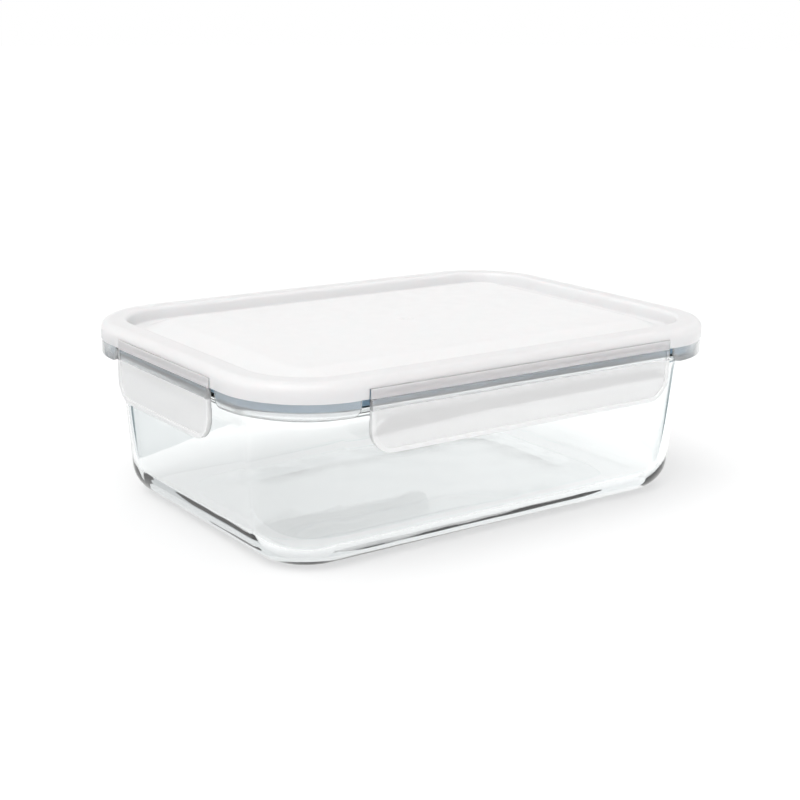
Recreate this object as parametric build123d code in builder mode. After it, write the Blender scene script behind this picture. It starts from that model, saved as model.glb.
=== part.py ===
"""Snap lid food container: a glass dish with a plastic lid that four hinged flaps lock down.

Millimetres. The origin is the centre of the base, on the surface that the dish stands on. +X runs along
the long side, +Y along the short side and +Z up.
"""
import os
from math import atan, degrees, radians, tan

from build123d import *

# ---- lid, over its rim ----
lid_length = 210.0
lid_width = 150.0
lid_corner = 32.5          # plan radius of the rim's outer edge
lid_top = 69.0             # top of the rim above the table
rim_band = 9.8             # flat rim, from its outer edge to the recess
rim_round = 3.2            # outer top edge
rim_inner_round = 1.8      # edge where the rim drops into the recess
rim_skin = 1.6             # thickness of the rim's top
groove_drop = 4.6          # groove round the panel, below the rim
recess_round = 1.0         # foot of the recess wall
recess_draft = 20.0        # slope of the recess wall, degrees from vertical
recess_wall = 1.5
panel_foot = 14.5          # where the panel starts to rise, from the rim's outer edge
panel_rise = 3.3           # raised panel above the groove
panel_run = 12.5           # width of its sloping border
panel_round = 12.0         # foot and shoulder of the slope
panel_thickness = 1.5
plug_depth = 12.5          # locating rib, from the lid's top down into the dish
skirt_wall = 1.3
skirt_bottom = 57.9
skirt_end_round = 3.4      # lower corners of each corner skirt
seal_rib_inset = 3.4       # rib outside the seal's groove, from the rim's outer edge
seal_rib_wall = 1.0
seal_rib_depth = 2.6
gate_radius = 3.2          # injection point in the middle of the panel
gate_depth = 0.4
gate_nub_radius = 1.0

# ---- glass dish ----
flange_inset = 3.3         # flange of the dish inside the lid's outline
flange_top = 58.6
flange_bottom = 55.2
flange_lower_round = 1.5
glass_round = 1.5          # the rim's two upper edges
flange_neck_round = 1.2    # where the flange's underside meets the wall
wall_inset = 6.8           # outside of the wall under the flange, from the lid's outline
wall_corner = 26.0
wall_draft = 4.4           # slope of the wall, degrees from vertical
base_round = 12.5          # outer edge of the base
glass_wall = 3.0
glass_floor = 4.6
floor_round = 9.0
foot_width = 7.0           # foot ring that the dish stands on
foot_recess = 0.5
foot_corner = 6.0

# ---- locking flaps and their living hinges ----
front_flap_length = 136.0
side_flap_length = 68.0
flap_bottom = 42.8
flap_corner = 9.0
flap_proud = 0.3           # flap's face outside the lid's side
window_thickness = 1.1     # clear upper plate
grip_thickness = 1.4       # frosted lower plate
grip_top = 55.0
lip_width = 1.7            # raised border round the grip
lip_proud = 0.5
lip_round = 0.2
hook_reach = 3.6           # locking bead, inwards from the grip plate
hook_nose = 1.2            # height of the bead's nose
hook_slope = 2.2           # lower flank of the bead
hook_end_margin = 7.0      # bead shorter than the flap, at each end
hook_clearance = 0.4       # bead under the flange when it is locked
hinge_top = 65.45          # living hinge web, lid side
hinge_bottom = 62.0        # living hinge web, flap side
hinge_thickness = 0.7
hinge_gap = 0.1            # web to flap, so that the two solids stay apart
slot_end_gap = 0.6         # slit at each end of a web
notch = 3.3                # opening between a flap's end and the corner skirt

# ---- silicone seal ----
seal_width = 3.9           # stem, held in the lid's groove
seal_foot_width = 4.9      # foot, pressed on the glass rim
seal_foot_inset = 3.7      # outside of the foot, from the rim's outer edge
seal_clearance = 0.1       # seal to glass and seal to groove
seal_round = 0.9

# ---- heights and insets that follow ----
rim_underside = lid_top - rim_skin
groove_level = lid_top - groove_drop
panel_level = groove_level + panel_rise
panel_taper = degrees(atan(panel_run / panel_rise))
plug_bottom = lid_top - plug_depth
draft = tan(radians(recess_draft))
pan_inset = rim_band - recess_wall
hook_top = flange_bottom - hook_clearance
wall_slope = tan(radians(wall_draft))
foot_inset = wall_inset + flange_bottom * wall_slope + base_round + foot_width
flap_top = hinge_bottom - hinge_gap
flap_height = flap_top - flap_bottom
grip_face = flap_proud - grip_thickness

os.makedirs("parts", exist_ok=True)


def lid_outline(inset, mode=Mode.ADD):
    """The lid's plan outline, moved inwards by inset."""
    return RectangleRounded(lid_length - 2 * inset, lid_width - 2 * inset, lid_corner - inset, mode=mode)


def dish_outline(height, inset=0.0):
    """The dish's plan outline at a height above the table, on the wall's slope, moved inwards by inset."""
    total = wall_inset + (flange_bottom - height) * wall_slope + inset
    return RectangleRounded(
        lid_length - 2 * total, lid_width - 2 * total, wall_corner + wall_inset - total
    )


def level_face(builder, height):
    """The builder's flat, level face at a height above the table."""
    return builder.faces().filter_by(Axis.Z).filter_by_position(Axis.Z, height - 0.01, height + 0.01)[0]


def save(builder, label):
    builder.part.label = label
    export_step(builder.part, f"parts/{label}.step")


def side_plane(direction):
    """The plane of one side of the lid: local x along the side, local y up, normal outwards."""
    along = Vector(0, 0, 1).cross(direction)
    reach = lid_length / 2 if abs(direction.X) > abs(direction.Y) else lid_width / 2
    return Plane(origin=direction * reach, x_dir=along, z_dir=direction)


SIDES = {
    "front": (side_plane(Vector(0, -1, 0)), front_flap_length),
    "back": (side_plane(Vector(0, 1, 0)), front_flap_length),
    "left": (side_plane(Vector(-1, 0, 0)), side_flap_length),
    "right": (side_plane(Vector(1, 0, 0)), side_flap_length),
}

# ---- glass dish: tapered walls, heavy rounded base and a flange that the flaps hook under ----
with BuildPart() as glass_dish:
    with BuildSketch(Plane.XY.offset(flange_bottom)):
        dish_outline(flange_bottom)
    extrude(amount=-flange_bottom, taper=wall_draft)
    fillet(glass_dish.faces().sort_by(Axis.Z)[0].edges(), base_round)
    with BuildSketch(Plane.XY.offset(flange_bottom)):
        lid_outline(flange_inset)
    extrude(amount=flange_top - flange_bottom)
    fillet(level_face(glass_dish, flange_bottom).inner_wires()[0].edges(), flange_neck_round)
    fillet(level_face(glass_dish, flange_bottom).outer_wire().edges(), flange_lower_round)

    # inside of the dish
    with BuildSketch(Plane.XY.offset(flange_top)):
        dish_outline(flange_top, glass_wall)
    extrude(amount=-(flange_top - glass_floor), taper=wall_draft, mode=Mode.SUBTRACT)
    fillet(level_face(glass_dish, glass_floor).edges(), floor_round)
    fillet(level_face(glass_dish, flange_top).edges(), glass_round)

    # shallow recess under the base, which leaves a foot ring
    with BuildSketch(Plane.XY):
        RectangleRounded(lid_length - 2 * foot_inset, lid_width - 2 * foot_inset, foot_corner)
    extrude(amount=foot_recess, mode=Mode.SUBTRACT)
save(glass_dish, "glass_dish")

# ---- lid: raised rim, recessed panel, corner skirts and the groove for the seal ----
with BuildPart() as lid:
    with BuildSketch(Plane.XY.offset(skirt_bottom)):
        lid_outline(0)
    extrude(amount=lid_top - skirt_bottom)
    fillet(lid.faces().sort_by(Axis.Z)[-1].edges(), rim_round)
    with BuildSketch(Plane.XY.offset(skirt_bottom)):
        lid_outline(skirt_wall)
    extrude(amount=rim_underside - skirt_bottom, mode=Mode.SUBTRACT)

    # pan that drops inside the dish, then the recess above it and the hollow below it
    with BuildSketch(Plane.XY.offset(rim_underside)):
        lid_outline(pan_inset + draft * rim_skin)
    extrude(amount=-(rim_underside - plug_bottom), taper=recess_draft)
    with BuildSketch(Plane.XY.offset(lid_top)):
        lid_outline(rim_band)
    extrude(amount=-groove_drop, taper=recess_draft, mode=Mode.SUBTRACT)
    with BuildSketch(Plane.XY.offset(plug_bottom)):
        lid_outline(pan_inset + draft * plug_depth + recess_wall)
    extrude(amount=groove_level - panel_thickness - plug_bottom, mode=Mode.SUBTRACT)
    fillet(level_face(lid, lid_top).inner_wires()[0].edges(), rim_inner_round)
    fillet(level_face(lid, groove_level).edges(), recess_round)

    # raised panel with soft sloping borders, hollow below so that its wall is even
    with BuildSketch(Plane.XY.offset(groove_level)):
        lid_outline(panel_foot)
    extrude(amount=panel_rise, taper=panel_taper)
    fillet(level_face(lid, panel_level).edges(), panel_round)
    fillet(level_face(lid, groove_level).inner_wires()[0].edges(), panel_round)
    with BuildSketch(Plane.XY.offset(groove_level - panel_thickness)):
        lid_outline(panel_foot)
    extrude(amount=panel_rise, taper=panel_taper, mode=Mode.SUBTRACT)

    # rib that holds the seal from outside
    with BuildSketch(Plane.XY.offset(rim_underside - seal_rib_depth)):
        lid_outline(seal_rib_inset)
        lid_outline(seal_rib_inset + seal_rib_wall, Mode.SUBTRACT)
    extrude(amount=seal_rib_depth)

    # each side is open for its flap, with a slit beside the hinge and a wider notch below it
    for plane, flap_length in SIDES.values():
        with BuildSketch(plane):
            with Locations((0, (hinge_bottom + skirt_bottom - 1) / 2)):
                Rectangle(flap_length + 2 * notch, hinge_bottom - skirt_bottom + 1)
            with Locations((0, (hinge_bottom + hinge_top) / 2)):
                Rectangle(flap_length + 2 * slot_end_gap, hinge_top - hinge_bottom)
        extrude(amount=-skirt_wall, mode=Mode.SUBTRACT)
    skirt_ends = [
        edge
        for edge in lid.edges().filter_by(GeomType.LINE)
        if abs(edge.center().Z - skirt_bottom) < 0.01 and abs(edge.length - skirt_wall) < 0.01
    ]
    fillet(skirt_ends, skirt_end_round)

    # injection point
    with BuildSketch(Plane.XY.offset(panel_level)):
        Circle(gate_radius)
        Circle(gate_nub_radius, mode=Mode.SUBTRACT)
    extrude(amount=-gate_depth, mode=Mode.SUBTRACT)
save(lid, "lid")

# ---- silicone seal: a stem in the lid's groove and a wider foot on the glass rim ----
stem_inset = seal_rib_inset + seal_rib_wall + seal_clearance
stem_bottom = rim_underside - seal_rib_depth - seal_clearance
with BuildPart() as seal:
    with BuildSketch(Plane.XY.offset(flange_top + seal_clearance)):
        lid_outline(seal_foot_inset)
        lid_outline(seal_foot_inset + seal_foot_width, Mode.SUBTRACT)
    extrude(amount=stem_bottom - flange_top - seal_clearance)
    fillet(seal.faces().sort_by(Axis.Z)[0].edges(), seal_round)
    with BuildSketch(Plane.XY.offset(stem_bottom)):
        lid_outline(stem_inset)
        lid_outline(stem_inset + seal_width, Mode.SUBTRACT)
    extrude(amount=rim_underside - seal_clearance - stem_bottom)
save(seal, "seal")

# ---- one flap and one hinge web on each side ----
for side, (plane, flap_length) in SIDES.items():
    with BuildPart() as flap:
        # plate with rounded lower corners: clear window above, thicker grip below
        with BuildSketch(plane.offset(flap_proud)) as face:
            with Locations((0, flap_bottom + flap_height / 2)):
                Rectangle(flap_length, flap_height)
            fillet(face.vertices().group_by(Axis.Y)[0], flap_corner)
        extrude(amount=-window_thickness)
        with BuildSketch(plane.offset(flap_proud - window_thickness)) as grip:
            with Locations((0, (flap_bottom + grip_top) / 2)):
                Rectangle(flap_length, grip_top - flap_bottom)
            fillet(grip.vertices().group_by(Axis.Y)[0], flap_corner)
        extrude(amount=window_thickness - grip_thickness)

        # raised border along both ends and the bottom
        with BuildSketch(plane.offset(flap_proud)) as border:
            with Locations((0, flap_bottom + flap_height / 2)):
                Rectangle(flap_length, flap_height)
            fillet(border.vertices().group_by(Axis.Y)[0], flap_corner)
            with BuildSketch(mode=Mode.SUBTRACT) as field:
                with Locations((0, flap_bottom + lip_width + flap_height / 2)):
                    Rectangle(flap_length - 2 * lip_width, flap_height)
                fillet(field.vertices().group_by(Axis.Y)[0], flap_corner - lip_width)
        extrude(amount=lip_proud)
        outwards = Axis(plane.origin, plane.z_dir)
        fillet(flap.faces().filter_by(outwards).sort_by(outwards)[-1].edges(), lip_round)

        # locking bead that hooks under the flange
        with BuildSketch(Plane(origin=plane.origin, x_dir=plane.z_dir, z_dir=-plane.x_dir)) as bead:
            with BuildLine():
                Polyline(
                    (grip_face, hook_top),
                    (grip_face - hook_reach, hook_top),
                    (grip_face - hook_reach, hook_top - hook_nose),
                    (grip_face, hook_top - hook_nose - hook_slope),
                    close=True,
                )
            make_face()
        extrude(amount=flap_length / 2 - hook_end_margin, both=True)
    save(flap, f"flap_{side}")

    with BuildPart() as hinge_web:
        with BuildSketch(plane.offset(flap_proud)):
            with Locations((0, (hinge_bottom + hinge_top) / 2)):
                Rectangle(flap_length, hinge_top - hinge_bottom)
        extrude(amount=-hinge_thickness)
    save(hinge_web, f"hinge_web_{side}")
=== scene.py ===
"""Looks of the snap lid food container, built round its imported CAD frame.

Metres, in the frame's own axes: +X along the long side, +Y along the short side, +Z up, table at 0.
"""
from math import cos, pi, radians, sin, sqrt, tan

import bmesh
import bpy
from mathutils import Matrix, Vector


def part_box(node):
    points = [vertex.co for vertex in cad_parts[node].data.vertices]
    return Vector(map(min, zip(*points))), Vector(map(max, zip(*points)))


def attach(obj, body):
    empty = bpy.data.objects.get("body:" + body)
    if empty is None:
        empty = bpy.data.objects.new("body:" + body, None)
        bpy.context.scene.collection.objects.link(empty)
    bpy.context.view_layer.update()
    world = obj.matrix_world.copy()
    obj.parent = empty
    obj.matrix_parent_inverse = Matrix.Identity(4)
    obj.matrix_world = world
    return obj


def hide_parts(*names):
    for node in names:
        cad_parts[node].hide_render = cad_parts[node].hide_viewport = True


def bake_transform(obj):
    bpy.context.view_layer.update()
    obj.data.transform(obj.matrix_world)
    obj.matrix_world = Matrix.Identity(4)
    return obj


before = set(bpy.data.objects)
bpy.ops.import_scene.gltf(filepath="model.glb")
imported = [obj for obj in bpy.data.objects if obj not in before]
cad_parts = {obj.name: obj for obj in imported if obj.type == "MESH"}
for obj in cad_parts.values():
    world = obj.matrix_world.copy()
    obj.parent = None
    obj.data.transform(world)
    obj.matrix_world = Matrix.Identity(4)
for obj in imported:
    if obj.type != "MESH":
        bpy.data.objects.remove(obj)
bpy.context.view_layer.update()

MM = 0.001
lid_low, lid_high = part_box("lid")
dish_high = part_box("glass_dish")[1]
front_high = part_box("flap_front")[1]
left_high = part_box("flap_left")[1]
web_low, web_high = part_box("hinge_web_front")
seal_low, seal_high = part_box("seal")

# ---- lid, from its outer edge inwards and from its top down ----
LID_CORNER = 32.5 * MM
RIM_BAND = 9.8 * MM
RIM_ROUND = 3.2 * MM
RIM_INNER_ROUND = 1.8 * MM
RIM_SKIN = 1.6 * MM
GROOVE_DROP = 4.6 * MM
GROOVE_ROUND = 1.0 * MM
RECESS_DRAFT = radians(20)
RECESS_WALL = 1.5 * MM
PANEL_FOOT = 14.5 * MM
PANEL_SHOULDER = 27.0 * MM
PANEL_RISE = 3.3 * MM
PANEL_CROWN = 0.5 * MM
PANEL_SKIN = 1.5 * MM
PLUG_DEPTH = 12.5 * MM
SKIRT_WALL = 1.3 * MM
SKIRT_END_ROUND = 3.4 * MM
SEAL_RIB_INSET = 3.4 * MM
SEAL_RIB_WALL = 1.0 * MM
SEAL_RIB_DEPTH = 2.6 * MM
SLOT_END_GAP = 0.6 * MM
NOTCH = 3.3 * MM
SOFT_EDGE = 0.25 * MM      # moulded edges that CAD leaves sharp
SKIRT_STEP = 0.3 * MM      # the clear tab stands back from the frosted side above it
SEAL_FOOT_INSET = 3.7 * MM
SEAL_FOOT_WIDTH = 4.9 * MM
SEAL_STEM_WIDTH = 3.9 * MM
SEAL_ROUND = 0.9 * MM
GATE_RADIUS = 3.2 * MM
GATE_REACH = 4.0 * MM
GATE_DEPTH = 0.4 * MM
GATE_NUB = 1.0 * MM
GATE_EDGE = 0.5 * MM
NUB_SHARE = 0.9            # the nub's height, as a share of the disc's depth
UNDER_FILLET = 1.0 * MM    # inside the skirt, below the rim
PLUG_EDGE = 0.4 * MM       # height of the bevel on the outside of the plug's lower edge
PLUG_CHAMFER = 0.3 * MM    # how far in it goes, and the size of the bevel on the inside
HOLLOW_FILLET = 0.6 * MM   # where the hollow's wall meets the panel
TIGHT_EDGE = 0.05 * MM     # the skirt's lower edge above the flaps and in the slots beside them

# ---- hinge webs and flaps ----
WEB_ROWS, WEB_COLUMNS = 14, 40
WEB_WAIST = 0.45           # the share of its thickness that a web loses halfway down
FLAP_BEVEL = 0.12 * MM
FROST_LOW, FROST_HIGH = 57.9 * MM, 58.5 * MM   # a flap is frosted below and clear above

# ---- glass dish ----
WALL_INSET = 6.8 * MM
WALL_CORNER = 26.0 * MM
WALL_DRAFT = radians(4.4)
FLANGE_BOTTOM = 55.2 * MM
FLANGE_INSET = 3.3 * MM
FLANGE_LOWER_ROUND = 1.5 * MM
GLASS_ROUND = 1.5 * MM
NECK_ROUND = 1.2 * MM
BASE_ROUND = 12.5 * MM
GLASS_WALL = 3.0 * MM
GLASS_FLOOR = 4.6 * MM
FLOOR_ROUND = 9.0 * MM
FOOT_RECESS = 0.5 * MM
FOOT_START = 25.0 * MM     # where the foot ring gives way to the recess, from the lid's outline
FOOT_RUN = 30.0 * MM

# ---- spacing of the meshes' loops ----
GLASS_LAST = 0.6 * MM      # how far the loop beside the middle stays from the corners' centres
GLASS_NEXT = 2.0 * MM      # and the loop next to it
GLASS_LEAD = 0.8 * MM      # a flat stretch beside the roundings of the base and the floor
FLANGE_LEAD = 0.3 * MM     # the same below the flange's upper rounding
WALL_LEAD_TOP, WALL_LEAD_LOW = 0.6 * MM, 0.5 * MM      # and on the inside of the wall
RIM_LEAD = 0.4 * MM        # and beside the roundings of the lid's rim
PANEL_LAST = 0.4 * MM
PANEL_NEXT = 2.5 * MM
MIDWAY = 0.3               # where a soft edge's middle point lies, as a share of its size
SLOT_STEP = 0.06 * MM      # half the width of a step in the skirt's lower edge
GRID_UNIT = 0.001 * MM     # the precision with which places are matched
NEAR = 0.1 * MM            # heights and places closer together than this count as the same
LEAST_BEND = 0.4           # degrees round a corner at which the first station may lie
BEND_GAP = 1.0             # degrees between the skirt's own stations and the evenly spread ones

half_length = lid_high.x
half_width = lid_high.y
lid_top = lid_high.z
skirt_bottom = lid_low.z
flange_top = dish_high.z
hinge_top, hinge_bottom = web_high.z, web_low.z


# ---------------------------------------------------------------- mesh kit
def arc(inset, height, radius, start, end, steps):
    """Points of a section's arc: 0 degrees points out of the object and 90 degrees up."""
    turns = [radians(start + (end - start) * k / steps) for k in range(steps + 1)]
    return [(inset - radius * cos(a), height + radius * sin(a)) for a in turns]


def spread(low, high, steps):
    """Evenly spaced values from low to high, with both ends."""
    return [low + (high - low) * k / steps for k in range(steps + 1)]


def ease(x):
    """Smooth step from 0 to 1."""
    x = min(max(x, 0.0), 1.0)
    return x * x * (3 - 2 * x)


class RoundedRectangle:
    """Stations round a rounded rectangle, anticlockwise from above, starting on the front side.

    Each station keeps the point that its corner or side is drawn from, the outward direction there, the
    side it belongs to and its distance along the outline from that side's middle.
    """

    def __init__(self, half_x, half_y, corner, xs, ys, bends):
        self.corner = corner
        self.sx, self.sy = half_x - corner, half_y - corner
        self.xs, self.ys = xs, ys
        self.stations = []
        self._side("front", [(x, -self.sy) for x in xs], (0, -1), 0)
        self._bend(self.sx, -self.sy, -90, bends, "front", "right")
        self._side("right", [(self.sx, y) for y in ys], (1, 0), 1)
        self._bend(self.sx, self.sy, 0, reversed([90 - b for b in bends]), "right", "back")
        self._side("back", [(x, self.sy) for x in reversed(xs)], (0, 1), 0)
        self._bend(-self.sx, self.sy, 90, bends, "back", "left")
        self._side("left", [(-self.sx, y) for y in reversed(ys)], (-1, 0), 1)
        self._bend(-self.sx, -self.sy, 180, reversed([90 - b for b in bends]), "left", "front")

    def _side(self, side, points, direction, axis):
        for point in points:
            self.stations.append((point, direction, side, abs(point[axis])))

    def _bend(self, x, y, start, bends, before, after):
        half = {"front": self.sx, "back": self.sx, "left": self.sy, "right": self.sy}
        for b in bends:
            a = radians(start + b)
            side, turned = (before, b) if b < 45 else (after, 90 - b)
            along = half[side] + self.corner * radians(turned)
            self.stations.append(((x, y), (cos(a), sin(a)), side, along))

    def point(self, station, inset, height):
        (x, y), (dx, dy) = station[0], station[1]
        reach = self.corner - inset
        return Vector((x + dx * reach, y + dy * reach, height))


class Shell:
    """A mesh made of loops round a rounded rectangle, closed over its middle by a grid."""

    def __init__(self, outline):
        self.outline = outline
        self.bm = bmesh.new()
        self.last = None
        self.finish = 0

    def loop(self, section):
        """Adds a loop, and a wall to the loop before it. section(station) gives its inset and height."""
        verts = [
            self.bm.verts.new(self.outline.point(s, *section(s))) for s in self.outline.stations
        ]
        if self.last is not None:
            count = len(verts)
            for k in range(count):
                n = (k + 1) % count
                face = self.bm.faces.new((self.last[k], self.last[n], verts[n], verts[k]))
                face.material_index = self.finish
        self.last = verts

    def loops(self, points):
        """Adds a loop for each (inset, height)."""
        for inset, height in points:
            self.loop(lambda station, inset=inset, height=height: (inset, height))

    def middle(self, height):
        """Fills the rectangle that the corners are drawn from, joined to the last loop. height(x, y)."""
        o = self.outline
        grid = {}
        for i, x in enumerate(o.xs):
            for j, y in enumerate(o.ys):
                grid[i, j] = self.bm.verts.new((x, y, height(x, y)))
        nx, ny = len(o.xs) - 1, len(o.ys) - 1
        for i in range(nx):
            for j in range(ny):
                self.bm.faces.new((grid[i, j], grid[i + 1, j], grid[i + 1, j + 1], grid[i, j + 1]))
        where = {}
        for i, x in enumerate(o.xs):
            for j, y in enumerate(o.ys):
                where[round(x / GRID_UNIT), round(y / GRID_UNIT)] = grid[i, j]
        inner = [where[round(x / GRID_UNIT), round(y / GRID_UNIT)] for (x, y), *_ in o.stations]
        count = len(inner)
        for k in range(count):
            n = (k + 1) % count
            ring = [self.last[k], self.last[n], inner[n], inner[k]]
            if inner[n] is inner[k]:
                ring.pop()
            self.bm.faces.new(ring)

    def build(self, name, sharp):
        return finish_mesh(self.bm, name, sharp)


def finish_mesh(bm, name, sharp):
    """Turns a bmesh into a smooth shaded object whose edges over `sharp` degrees stay crisp."""
    bmesh.ops.recalc_face_normals(bm, faces=bm.faces)
    mesh = bpy.data.meshes.new(name)
    bm.to_mesh(mesh)
    bm.free()
    for polygon in mesh.polygons:
        polygon.use_smooth = True
    mesh.set_sharp_from_angle(angle=radians(sharp))
    piece = bpy.data.objects.new(name, mesh)
    bpy.context.scene.collection.objects.link(piece)
    return piece


# ---------------------------------------------------------------- glass dish
def recess_height(x, y):
    """The underside of the base: it rises very gently from the foot ring to the recess."""
    along = ease((half_length - abs(x) - FOOT_START) / FOOT_RUN)
    across = ease((half_width - abs(y) - FOOT_START) / FOOT_RUN)
    return FOOT_RECESS * along * across


def make_dish():
    slope = tan(WALL_DRAFT)
    lean = WALL_DRAFT * 180 / pi
    corner = WALL_CORNER + WALL_INSET
    outline = RoundedRectangle(
        half_length, half_width, corner,
        spread(-(half_length - corner), half_length - corner, 48),
        spread(-(half_width - corner), half_width - corner, 28),
        spread(0, 90, 32)[1:-1],
    )

    def outer(z):
        return WALL_INSET + (FLANGE_BOTTOM - z) * slope

    def inner(z):
        return outer(z) + GLASS_WALL

    base_centre = outer(BASE_ROUND) + BASE_ROUND / cos(WALL_DRAFT)
    neck_height = FLANGE_BOTTOM - NECK_ROUND
    neck_centre = outer(neck_height) - NECK_ROUND / cos(WALL_DRAFT)
    top_height = flange_top - GLASS_ROUND
    top_centre = inner(top_height) - GLASS_ROUND / cos(WALL_DRAFT)
    floor_height = GLASS_FLOOR + FLOOR_ROUND
    floor_centre = inner(floor_height) + FLOOR_ROUND / cos(WALL_DRAFT)
    lower = FLANGE_LOWER_ROUND

    shell = Shell(outline)

    def under_loop(inset):
        def section(station):
            p = outline.point(station, inset, 0)
            return inset, recess_height(p.x, p.y)
        shell.loop(section)

    under_loop(outline.corner - GLASS_LAST)
    shell.middle(recess_height)
    for inset in spread(outline.corner - GLASS_NEXT, FOOT_START, 4):
        under_loop(inset)
    shell.loops([(base_centre + GLASS_LEAD, 0)])
    shell.loops(arc(base_centre, BASE_ROUND, BASE_ROUND, -90, -lean, 18))
    for z in spread(BASE_ROUND, FLANGE_BOTTOM - 3 * NECK_ROUND, 6):
        shell.loops([(outer(z), z)])
    shell.loops(arc(neck_centre, neck_height, NECK_ROUND, 180 - lean, 90, 6))
    shell.loops(arc(FLANGE_INSET + lower, FLANGE_BOTTOM + lower, lower, -90, 0, 9))
    for z in spread(FLANGE_BOTTOM + 1.25 * lower, top_height - FLANGE_LEAD, 3):
        shell.loops([(FLANGE_INSET, z)])
    shell.loops(arc(FLANGE_INSET + GLASS_ROUND, top_height, GLASS_ROUND, 0, 90, 9))
    shell.loops(arc(top_centre, top_height, GLASS_ROUND, 90, 180 - lean, 9))
    for z in spread(top_height - WALL_LEAD_TOP, floor_height + WALL_LEAD_LOW, 8):
        shell.loops([(inner(z), z)])
    shell.loops(arc(floor_centre, floor_height, FLOOR_ROUND, -lean, -90, 16))
    shell.loops([(floor_centre + GLASS_LEAD, GLASS_FLOOR), (outline.corner - GLASS_LAST, GLASS_FLOOR)])
    shell.middle(lambda x, y: GLASS_FLOOR)
    return shell.build("glass_dish_body", 60)


# ---------------------------------------------------------------- lid
def skirt_height(side, along):
    """The skirt's lower edge at a distance along one side from its middle."""
    flap_half = front_high.x if side in ("front", "back") else left_high.y
    if along < flap_half + SLOT_END_GAP:
        return hinge_top
    if along < flap_half + NOTCH:
        return hinge_bottom
    past = along - flap_half - NOTCH
    if past >= SKIRT_END_ROUND:
        return skirt_bottom
    return skirt_bottom + SKIRT_END_ROUND - sqrt(SKIRT_END_ROUND ** 2 - (SKIRT_END_ROUND - past) ** 2)


def side_marks(flap_half, end):
    """Distances from a side's middle that its stations need, up to the side's straight end."""
    step = SLOT_STEP
    marks = spread(0, GATE_REACH, 10) + spread(GATE_REACH, flap_half - 1 * MM, 14)[1:]
    marks += [flap_half + SLOT_END_GAP - step, flap_half + SLOT_END_GAP + step]
    marks += [flap_half + NOTCH - step, flap_half + NOTCH + step]
    turns = spread(0, 90, 10)[1:]
    marks += [flap_half + NOTCH + SKIRT_END_ROUND * (1 - cos(radians(a))) for a in turns]
    marks = [m for m in marks if m < end - NEAR] + [end]
    return [-m for m in reversed(marks[1:])] + marks


def panel_height(x, y):
    """The panel's top: it rises softly from the groove, then stays slightly crowned."""
    corner = LID_CORNER
    out_x = max(abs(x) - (half_length - corner), 0)
    out_y = max(abs(y) - (half_width - corner), 0)
    if out_x > 0 or out_y > 0:
        inset = corner - sqrt(out_x ** 2 + out_y ** 2)
    else:
        inset = corner
    rise = PANEL_RISE * ease((inset - PANEL_FOOT) / (PANEL_SHOULDER - PANEL_FOOT))
    crown = PANEL_CROWN * (1 - (x / half_length) ** 2) * (1 - (y / half_width) ** 2)
    return lid_top - GROOVE_DROP + rise + crown * rise / PANEL_RISE


def panel_top(x, y):
    """The panel's upper face, with the sunk disc and small nub of the moulding gate at its centre."""
    reach = sqrt(x * x + y * y)
    sunk = 1 - ease((reach - GATE_RADIUS + GATE_EDGE) / GATE_EDGE)
    nub = 1 - ease((reach - GATE_NUB + 0.6 * GATE_EDGE) / GATE_EDGE)
    return panel_height(x, y) - GATE_DEPTH * (sunk - NUB_SHARE * nub)


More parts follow.
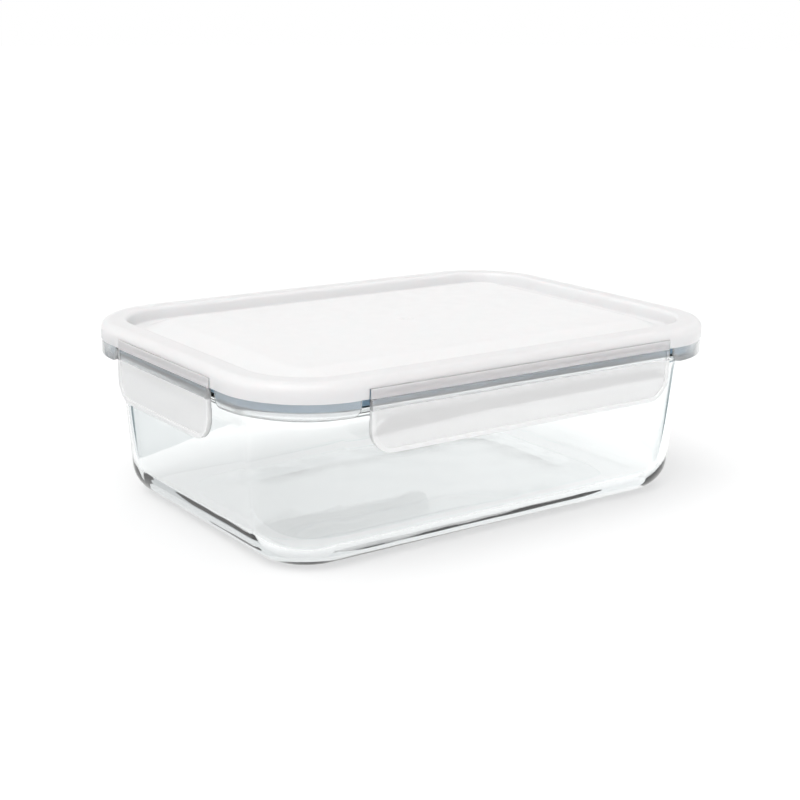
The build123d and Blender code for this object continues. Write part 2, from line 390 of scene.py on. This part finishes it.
def make_lid():
    corner = LID_CORNER
    sx, sy = half_length - corner, half_width - corner
    front_half, left_half = front_high.x, left_high.y
    first = [
        (front_half + NOTCH + SKIRT_END_ROUND * (1 - cos(radians(a))) - sx) / corner * 180 / pi
        for a in spread(0, 90, 10)
    ]
    bends = [b for b in first if b > LEAST_BEND]
    bends += [b for b in spread(0, 90, 30)[1:-1] if b > max(first) + BEND_GAP]
    bends = sorted(set(bends))
    outline = RoundedRectangle(
        half_length, half_width, corner, side_marks(front_half, sx), side_marks(left_half, sy), bends
    )
    shell = Shell(outline)
    slope = tan(RECESS_DRAFT)
    groove = lid_top - GROOVE_DROP

    def panel_loop(inset, drop=0.0):
        def section(station):
            p = outline.point(station, inset, 0)
            return inset, panel_height(p.x, p.y) - drop
        shell.loop(section)

    # top, from the middle of the panel to the rim
    panel_loop(corner - PANEL_LAST)
    shell.middle(panel_top)
    for inset in spread(corner - PANEL_NEXT, PANEL_FOOT, 14):
        panel_loop(inset)
    wall = RIM_BAND + slope * GROOVE_DROP
    tilt = 90 - RECESS_DRAFT * 180 / pi
    foot_centre = wall + GROOVE_ROUND * tan(radians(tilt / 2))
    shell.loops(reversed(arc(foot_centre, groove + GROOVE_ROUND, GROOVE_ROUND, -90 + tilt, -90, 6)))
    lip_centre = RIM_BAND - RIM_INNER_ROUND * tan(radians(tilt / 2))
    shell.loops(arc(lip_centre, lid_top - RIM_INNER_ROUND, RIM_INNER_ROUND, 90 + tilt, 90, 8))
    shell.loops([(lip_centre - RIM_LEAD, lid_top), (RIM_ROUND + RIM_LEAD, lid_top)])
    shell.loops(arc(RIM_ROUND, lid_top - RIM_ROUND, RIM_ROUND, 90, 0, 10))

    # skirt, whose lower edge follows the flaps' openings
    def skirt_loop(inset, ledge, lift):
        """A loop at a number of soft edges above the tab's ledge, or above its lower edge."""
        def section(station):
            bottom = skirt_height(station[2], station[3])
            soft = SOFT_EDGE if bottom < hinge_bottom - NEAR else TIGHT_EDGE
            start = max(hinge_bottom, bottom + 2 * soft) if ledge else bottom
            return inset, start + lift * soft
        shell.loop(section)

    edge = SOFT_EDGE
    skirt_loop(0, True, 1)
    skirt_loop(MIDWAY * SKIRT_STEP, True, MIDWAY)
    skirt_loop(SKIRT_STEP, True, 0)
    shell.finish = 1
    skirt_loop(SKIRT_STEP, False, 1)
    skirt_loop(SKIRT_STEP + MIDWAY * edge, False, MIDWAY)
    skirt_loop(SKIRT_STEP + edge, False, 0)
    skirt_loop(SKIRT_WALL - edge, False, 0)
    skirt_loop(SKIRT_WALL - MIDWAY * edge, False, MIDWAY)
    skirt_loop(SKIRT_WALL, False, 1)
    skirt_loop(SKIRT_WALL, True, 0)
    shell.finish = 0

    # underside: seal rib, seal groove, plug and the hollow below the panel
    under = lid_top - RIM_SKIN
    rib = under - SEAL_RIB_DEPTH
    fillet = UNDER_FILLET
    shell.loops([(SKIRT_WALL, under - fillet), (SKIRT_WALL + MIDWAY * fillet, under - MIDWAY * fillet)])
    shell.loops([(SKIRT_WALL + fillet, under), (SEAL_RIB_INSET, under)])
    shell.loops([(SEAL_RIB_INSET, rib + edge), (SEAL_RIB_INSET + edge, rib)])
    rib_inner = SEAL_RIB_INSET + SEAL_RIB_WALL
    shell.loops([(rib_inner - edge, rib), (rib_inner, rib + edge)])
    pan = RIM_BAND - RECESS_WALL
    plug = lid_top - PLUG_DEPTH
    shell.loops([(rib_inner, under), (pan + slope * RIM_SKIN, under)])
    shell.loops([(pan + slope * (PLUG_DEPTH - PLUG_EDGE), plug + PLUG_EDGE)])
    shell.loops([(pan + slope * PLUG_DEPTH + PLUG_CHAMFER, plug)])
    hollow = pan + slope * PLUG_DEPTH + RECESS_WALL
    shell.loops([(hollow - PLUG_CHAMFER, plug), (hollow, plug + PLUG_CHAMFER)])
    ceiling, fillet = groove - PANEL_SKIN, HOLLOW_FILLET
    shell.loops([(hollow, ceiling - fillet), (hollow + fillet / 3, ceiling - fillet / 3)])
    for inset in spread(hollow + fillet, corner - PANEL_NEXT, 10):
        panel_loop(inset, PANEL_SKIN)
    panel_loop(corner - PANEL_LAST, PANEL_SKIN)
    shell.middle(lambda x, y: panel_height(x, y) - PANEL_SKIN)
    return shell.build("lid_body", 40)


# ---------------------------------------------------------------- seal
def make_seal():
    corner = LID_CORNER
    outline = RoundedRectangle(
        half_length, half_width, corner,
        spread(-(half_length - corner), half_length - corner, 12),
        spread(-(half_width - corner), half_width - corner, 8),
        spread(0, 90, 24)[1:-1],
    )
    stem_inset = SEAL_RIB_INSET + SEAL_RIB_WALL + (seal_low.z - flange_top)
    shoulder = lid_top - RIM_SKIN - SEAL_RIB_DEPTH - (seal_low.z - flange_top)
    top, low, r = seal_high.z, seal_low.z, SEAL_ROUND
    outer, inner = SEAL_FOOT_INSET, SEAL_FOOT_INSET + SEAL_FOOT_WIDTH
    stem_inner = stem_inset + SEAL_STEM_WIDTH
    edge = SOFT_EDGE
    shell = Shell(outline)
    points = arc(outer + r, low + r, r, -90, 0, 6)
    points += [(outer, shoulder - edge), (outer + edge, shoulder), (stem_inset, shoulder)]
    points += [(stem_inset, top - edge), (stem_inset + edge, top)]
    points += [(stem_inner - edge, top), (stem_inner, top - edge), (stem_inner, shoulder)]
    points += [(inner, shoulder - edge)]
    points += arc(inner - r, low + r, r, 180, 270, 6)
    shell.loops(points)
    first = shell.bm.verts[:]
    count = len(outline.stations)
    start, end = first[:count], shell.last
    for k in range(count):
        n = (k + 1) % count
        shell.bm.faces.new((end[k], end[n], start[n], start[k]))
    return shell.build("silicone_ring", 60)


# ---------------------------------------------------------------- flaps and hinge webs
SIDES = ("front", "back", "left", "right")


def make_flap(side):
    """The flap's own shape with its moulded edges eased."""
    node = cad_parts[f"flap_{side}"]
    bm = bmesh.new()
    bm.from_mesh(node.data)
    bmesh.ops.remove_doubles(bm, verts=bm.verts, dist=0.005 * MM)
    bmesh.ops.dissolve_limit(bm, angle_limit=radians(0.5), verts=bm.verts, edges=bm.edges)
    piece = finish_mesh(bm, f"flap_{side}_plate", 25)
    bevel = piece.modifiers.new("eased edges", "BEVEL")
    bevel.width = FLAP_BEVEL
    bevel.segments = 2
    bevel.limit_method = "ANGLE"
    bevel.angle_limit = radians(30)
    bevel.harden_normals = True
    return piece


def make_web(side):
    """A thin strip from the lid to the flap, thinner halfway down."""
    low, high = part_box(f"hinge_web_{side}")
    flap_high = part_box(f"flap_{side}")[1]
    along_x = side in ("front", "back")
    rows, columns = WEB_ROWS, WEB_COLUMNS
    bm = bmesh.new()

    def corner(u, depth, z):
        if along_x:
            return bm.verts.new((u, depth, z))
        return bm.verts.new((depth, u, z))

    u_low, u_high = (low.x, high.x) if along_x else (low.y, high.y)
    n_low, n_high = (low.y, high.y) if along_x else (low.x, high.x)
    middle, half = (n_low + n_high) / 2, (n_high - n_low) / 2
    layers = []
    for sign in (-1, 1):
        layer = []
        for k in range(rows + 1):
            t = k / rows
            z = flap_high.z + (high.z - flap_high.z) * t
            waist = 1 - WEB_WAIST * sin(pi * t) ** 2
            depth = middle + sign * half * waist
            layer.append([corner(u, depth, z) for u in spread(u_low, u_high, columns)])
        layers.append(layer)
    inner, outer = layers
    for k in range(rows):
        for c in range(columns):
            bm.faces.new((inner[k][c], inner[k][c + 1], inner[k + 1][c + 1], inner[k + 1][c]))
            bm.faces.new((outer[k][c], outer[k + 1][c], outer[k + 1][c + 1], outer[k][c + 1]))
    for k in range(rows):
        for c in (0, columns):
            bm.faces.new((inner[k][c], inner[k + 1][c], outer[k + 1][c], outer[k][c]))
    for k in (0, rows):
        for c in range(columns):
            bm.faces.new((inner[k][c], inner[k][c + 1], outer[k][c + 1], outer[k][c]))
    return finish_mesh(bm, f"hinge_strip_{side}", 50)


# ---------------------------------------------------------------- materials
def new_material(name):
    material = bpy.data.materials.new(name)
    material.use_nodes = True
    nodes = material.node_tree.nodes
    return material, nodes["Principled BSDF"]


def add(material, kind, **inputs):
    node = material.node_tree.nodes.new(kind)
    for key, value in inputs.items():
        node.inputs[key.replace("_", " ")].default_value = value
    return node


def link(material, source, target):
    material.node_tree.links.new(source, target)


def noise(material, scale, detail=3.0, roughness=0.5):
    place = add(material, "ShaderNodeTexCoord")
    node = add(material, "ShaderNodeTexNoise", Scale=scale, Detail=detail, Roughness=roughness)
    link(material, place.outputs["Object"], node.inputs["Vector"])
    return node.outputs["Fac"]


def remap(material, value, low, high, from_low=0.3, from_high=0.7):
    node = add(material, "ShaderNodeMapRange")
    node.inputs["From Min"].default_value = from_low
    node.inputs["From Max"].default_value = from_high
    node.inputs["To Min"].default_value = low
    node.inputs["To Max"].default_value = high
    link(material, value, node.inputs["Value"])
    return node.outputs["Result"]


def bump(material, height, strength, distance, below=None):
    node = add(material, "ShaderNodeBump", Strength=strength, Distance=distance)
    link(material, height, node.inputs["Height"])
    if below is not None:
        link(material, below, node.inputs["Normal"])
    return node.outputs["Normal"]


# sockets of a Mix node, whose inputs and output have other places for each kind of data
MIX_FACTOR = 0
MIX_NUMBER_A, MIX_NUMBER_B, MIX_NUMBER_OUT = 2, 3, 0
MIX_COLOUR_A, MIX_COLOUR_B, MIX_COLOUR_OUT = 6, 7, 2


def blend_colour(material, factor, a, b):
    node = material.node_tree.nodes.new("ShaderNodeMix")
    node.data_type = "RGBA"
    node.inputs[MIX_COLOUR_A].default_value = (*a, 1)
    node.inputs[MIX_COLOUR_B].default_value = (*b, 1)
    link(material, factor, node.inputs[MIX_FACTOR])
    return node.outputs[MIX_COLOUR_OUT]


def blend_number(material, factor, a, b):
    """Blends from socket a to b, which is a socket or a plain number."""
    node = material.node_tree.nodes.new("ShaderNodeMix")
    link(material, factor, node.inputs[MIX_FACTOR])
    link(material, a, node.inputs[MIX_NUMBER_A])
    if isinstance(b, float):
        node.inputs[MIX_NUMBER_B].default_value = b
    else:
        link(material, b, node.inputs[MIX_NUMBER_B])
    return node.outputs[MIX_NUMBER_OUT]


def glass_material():
    material, shader = new_material("pressed_glass")
    shader.inputs["IOR"].default_value = 1.5
    shader.inputs["Transmission Weight"].default_value = 1.0
    tint = blend_colour(material, noise(material, 30), (0.992, 0.998, 0.997), (0.985, 0.995, 0.993))
    link(material, tint, shader.inputs["Base Color"])
    link(material, remap(material, noise(material, 260, 6), 0.0, 0.03), shader.inputs["Roughness"])
    wave = bump(material, noise(material, 35, 1), strength=0.25, distance=0.6 * MM)
    link(material, wave, shader.inputs["Normal"])
    body = add(material, "ShaderNodeVolumeAbsorption")
    body.inputs["Color"].default_value = (0.74, 0.84, 0.865, 1)
    body.inputs["Density"].default_value = 14.0
    link(material, body.outputs["Volume"], material.node_tree.nodes["Material Output"].inputs["Volume"])
    return material


def frosted_material():
    material, shader = new_material("frosted_polypropylene")
    shader.inputs["IOR"].default_value = 1.49
    shader.inputs["Transmission Weight"].default_value = 0.3
    shader.inputs["Subsurface Weight"].default_value = 1.0
    shader.inputs["Subsurface Radius"].default_value = (0.9, 1.0, 1.0)
    shader.inputs["Subsurface Scale"].default_value = 0.003
    tint = blend_colour(material, noise(material, 40, 4), (0.955, 0.96, 0.96), (0.972, 0.975, 0.975))
    link(material, tint, shader.inputs["Base Color"])
    link(material, remap(material, noise(material, 180, 5), 0.34, 0.46), shader.inputs["Roughness"])
    grain = bump(material, noise(material, 3500, 2), strength=0.12, distance=0.04 * MM)
    wave = bump(material, noise(material, 45, 2), strength=0.12, distance=0.5 * MM, below=grain)
    link(material, wave, shader.inputs["Normal"])
    return material


def flap_material():
    material, shader = new_material("clear_polypropylene")
    shader.inputs["IOR"].default_value = 1.49
    shader.inputs["Subsurface Weight"].default_value = 1.0
    shader.inputs["Subsurface Radius"].default_value = (1.0, 1.0, 1.0)
    shader.inputs["Subsurface Scale"].default_value = 0.003
    place = add(material, "ShaderNodeTexCoord")
    split = add(material, "ShaderNodeSeparateXYZ")
    link(material, place.outputs["Object"], split.inputs["Vector"])
    frost = remap(material, split.outputs["Z"], 1.0, 0.0, FROST_LOW, FROST_HIGH)
    rough_clear = remap(material, noise(material, 200, 5), 0.06, 0.12)
    rough_frosted = remap(material, noise(material, 200, 5), 0.28, 0.40)
    rough = blend_number(material, frost, rough_clear, rough_frosted)
    link(material, rough, shader.inputs["Roughness"])
    link(material, remap(material, frost, 0.8, 0.3, 0.0, 1.0), shader.inputs["Transmission Weight"])
    tint = blend_colour(material, frost, (0.985, 0.99, 0.992), (0.99, 0.99, 0.99))
    link(material, tint, shader.inputs["Base Color"])
    grain = bump(material, noise(material, 3000, 2), strength=0.1, distance=0.03 * MM)
    wave = bump(material, noise(material, 60, 2), strength=0.15, distance=0.4 * MM, below=grain)
    link(material, wave, shader.inputs["Normal"])
    return material


def tab_material():
    material, shader = new_material("clear_skirt")
    shader.inputs["IOR"].default_value = 1.49
    shader.inputs["Transmission Weight"].default_value = 0.86
    tint = blend_colour(material, noise(material, 60), (0.96, 0.97, 0.975), (0.975, 0.98, 0.985))
    link(material, tint, shader.inputs["Base Color"])
    link(material, remap(material, noise(material, 220, 5), 0.16, 0.24), shader.inputs["Roughness"])
    wave = bump(material, noise(material, 70, 2), strength=0.15, distance=0.4 * MM)
    link(material, wave, shader.inputs["Normal"])
    return material


def silicone_material():
    material, shader = new_material("silicone_rubber")
    shader.inputs["IOR"].default_value = 1.41
    shader.inputs["Transmission Weight"].default_value = 0.5
    tint = blend_colour(material, noise(material, 60, 3), (0.36, 0.56, 0.73), (0.42, 0.62, 0.78))
    link(material, tint, shader.inputs["Base Color"])
    link(material, remap(material, noise(material, 300, 4), 0.3, 0.45), shader.inputs["Roughness"])
    grain = bump(material, noise(material, 900, 3), strength=0.15, distance=0.1 * MM)
    link(material, grain, shader.inputs["Normal"])
    return material


glass = glass_material()
frosted = frosted_material()
clear = flap_material()
silicone = silicone_material()
tab_clear = tab_material()


def dress(piece, material):
    piece.data.materials.append(material)


dish = make_dish()
dress(dish, glass)
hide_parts("glass_dish")
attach(dish, "dish")

lid = make_lid()
dress(lid, frosted)
lid.data.materials.append(tab_clear)
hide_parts("lid")
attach(lid, "lid")

ring = make_seal()
dress(ring, silicone)
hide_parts("seal")
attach(ring, "lid")

for side in SIDES:
    flap = make_flap(side)
    dress(flap, clear)
    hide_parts(f"flap_{side}")
    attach(flap, f"flap_{side}")
    web = make_web(side)
    dress(web, frosted)
    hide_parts(f"hinge_web_{side}")
    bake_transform(web)

# ---------------------------------------------------------------- floor, light and camera
CAMERA_AZIMUTH = radians(-35.98)
CAMERA_ELEVATION = radians(14.93)
CAMERA_ROLL = radians(0.885)
CAMERA_DISTANCE = 0.5754
CAMERA_LENS = 65.8
CAMERA_SENSOR = 36
CAMERA_AIM = Vector((-0.0019, 0.0002, 0.0354))

# fixed directions along the floor, chosen for the photograph's view: across it and away from it
stage_right = Vector((cos(CAMERA_AZIMUTH), sin(CAMERA_AZIMUTH), 0))
stage_ahead = Vector((-stage_right.y, stage_right.x, 0))

WHITE = (1, 1, 1, 1)
FLOOR_SIZE = 12
FLOOR_HEIGHT = 0.04 * MM       # just inside the foot ring, so that no film of air darkens the base
FLOOR_GREY = (0.44, 0.44, 0.44, 1)
FLOOR_GLOW = 0.50              # as the camera sees it, and at the far left of the painted light that all other rays see
FLOOR_GLOW_RIGHT = 0.86        # at the far right of that painted light, for all other rays
FLOOR_GLOW_REACH = 0.15
WORLD_GLOW = 0.86              # the camera itself sees a background of 1
SUN_STRENGTH = 1.8
SUN_SOFTNESS = radians(50)
SUN_TURN = (radians(12), radians(-28), 0)
CARD_HEIGHT = 0.6 * MM
# painted reflection: dark glowing cards beside the object that only glass and gloss pick up
PAINTED_REFLECTION_COLOUR = (0.20, 0.26, 0.28, 1)
CARD_LENGTH, CARD_WIDTH = 0.36, 0.3
CARD_FADE_START, CARD_FADE_END = 0.25, 1.0     # where the painted reflection fades, in shares of the card's size from its near corner


def make_floor():
    """A white floor. For all rays but the camera's its glow is painted light, brighter on the right than
    on the left.
    """
    bpy.ops.mesh.primitive_plane_add(size=FLOOR_SIZE, location=(0, 0, FLOOR_HEIGHT))
    floor = bpy.context.object
    floor.name = "studio_floor"
    material, shader = new_material("pale_floor")
    shader.inputs["Base Color"].default_value = FLOOR_GREY
    shader.inputs["Emission Color"].default_value = WHITE
    shader.inputs["Roughness"].default_value = 0.7
    shader.inputs["Specular IOR Level"].default_value = 0.0
    place = add(material, "ShaderNodeTexCoord")
    across = add(material, "ShaderNodeVectorMath")
    across.operation = "DOT_PRODUCT"
    across.inputs[1].default_value = stage_right
    link(material, place.outputs["Object"], across.inputs[0])
    reach = FLOOR_GLOW_REACH
    # painted light: for all rays but the camera's the floor glows more towards the right
    painted_side_glow = remap(material, across.outputs["Value"], FLOOR_GLOW, FLOOR_GLOW_RIGHT, -reach, reach)
    path = add(material, "ShaderNodeLightPath")
    glow = blend_number(material, path.outputs["Is Camera Ray"], painted_side_glow, FLOOR_GLOW)
    link(material, glow, shader.inputs["Emission Strength"])
    floor.data.materials.append(material)


def make_world():
    """A white background for the camera, and a slightly dimmer white light from everywhere."""
    world = bpy.data.worlds.new("studio")
    bpy.context.scene.world = world
    world.use_nodes = True
    tree = world.node_tree
    tree.nodes.clear()
    seen = tree.nodes.new("ShaderNodeBackground")
    seen.inputs["Color"].default_value = WHITE
    around = tree.nodes.new("ShaderNodeBackground")
    around.inputs["Color"].default_value = WHITE
    around.inputs["Strength"].default_value = WORLD_GLOW
    path = tree.nodes.new("ShaderNodeLightPath")
    choose = tree.nodes.new("ShaderNodeMixShader")
    output = tree.nodes.new("ShaderNodeOutputWorld")
    tree.links.new(path.outputs["Is Camera Ray"], choose.inputs["Fac"])
    tree.links.new(around.outputs["Background"], choose.inputs[1])
    tree.links.new(seen.outputs["Background"], choose.inputs[2])
    tree.links.new(choose.outputs["Shader"], output.inputs["Surface"])


def make_sun():
    sun = bpy.data.lights.new("key", "SUN")
    sun.energy = SUN_STRENGTH
    sun.angle = SUN_SOFTNESS
    key = bpy.data.objects.new("key", sun)
    key.rotation_euler = SUN_TURN
    bpy.context.scene.collection.objects.link(key)


def painted_reflection_material():
    """Painted reflection: a dark glow at the card's near corner, fading out away from it."""
    material, shader = new_material("painted_reflection_card")
    shader.inputs["Base Color"].default_value = (0, 0, 0, 1)
    shader.inputs["Specular IOR Level"].default_value = 0.0
    shader.inputs["Emission Color"].default_value = PAINTED_REFLECTION_COLOUR
    shader.inputs["Emission Strength"].default_value = 1.0
    place = add(material, "ShaderNodeTexCoord")
    reach = add(material, "ShaderNodeVectorMath")
    reach.operation = "LENGTH"
    link(material, place.outputs["Object"], reach.inputs[0])
    fade = remap(material, reach.outputs["Value"], 1.0, 0.0, CARD_FADE_START, CARD_FADE_END)
    link(material, fade, shader.inputs["Alpha"])
    return material


def make_painted_reflection(name, material, start, sweep):
    """A sheet of painted reflection beside the object: a dark card on the studio floor that only glass
    and gloss pick up.

    Its near corner is at `start`, across and along the photograph's view, and its inner edge leaves there
    `sweep` degrees outwards from that view.
    """
    side = 1 if start[0] > 0 else -1
    mesh = bpy.data.meshes.new(name)
    mesh.from_pydata([(0, 0, 0), (side, 0, 0), (side, 1, 0), (0, 1, 0)], [], [(0, 1, 2, 3)])
    mesh.materials.append(material)
    card = bpy.data.objects.new(name, mesh)
    bpy.context.scene.collection.objects.link(card)
    card.location = stage_right * start[0] + stage_ahead * start[1] + Vector((0, 0, CARD_HEIGHT))
    card.rotation_euler = (0, 0, CAMERA_AZIMUTH - side * radians(sweep))
    card.scale = (CARD_WIDTH, CARD_LENGTH, 1)
    card.visible_camera = card.visible_shadow = card.visible_diffuse = False


def make_camera():
    turn = Matrix.Rotation(CAMERA_AZIMUTH, 4, "Z") @ Matrix.Rotation(pi / 2 - CAMERA_ELEVATION, 4, "X")
    turn = turn @ Matrix.Rotation(CAMERA_ROLL, 4, "Z")
    data = bpy.data.cameras.new("camera")
    data.lens = CAMERA_LENS
    data.sensor_width = CAMERA_SENSOR
    camera = bpy.data.objects.new("camera", data)
    place = CAMERA_AIM + turn.to_3x3() @ Vector((0, 0, CAMERA_DISTANCE))
    camera.matrix_world = Matrix.Translation(place) @ turn
    bpy.context.scene.collection.objects.link(camera)
    bpy.context.scene.camera = camera


make_floor()
make_world()
make_sun()
# painted reflections for the glass, one on each side of the object
painted_reflection_finish = painted_reflection_material()
make_painted_reflection("painted_reflection_left", painted_reflection_finish, start=(-0.135, 0.0), sweep=32)
make_painted_reflection("painted_reflection_right", painted_reflection_finish, start=(0.125, 0.0), sweep=43)
make_camera()
bpy.context.scene.view_settings.view_transform = "Standard"
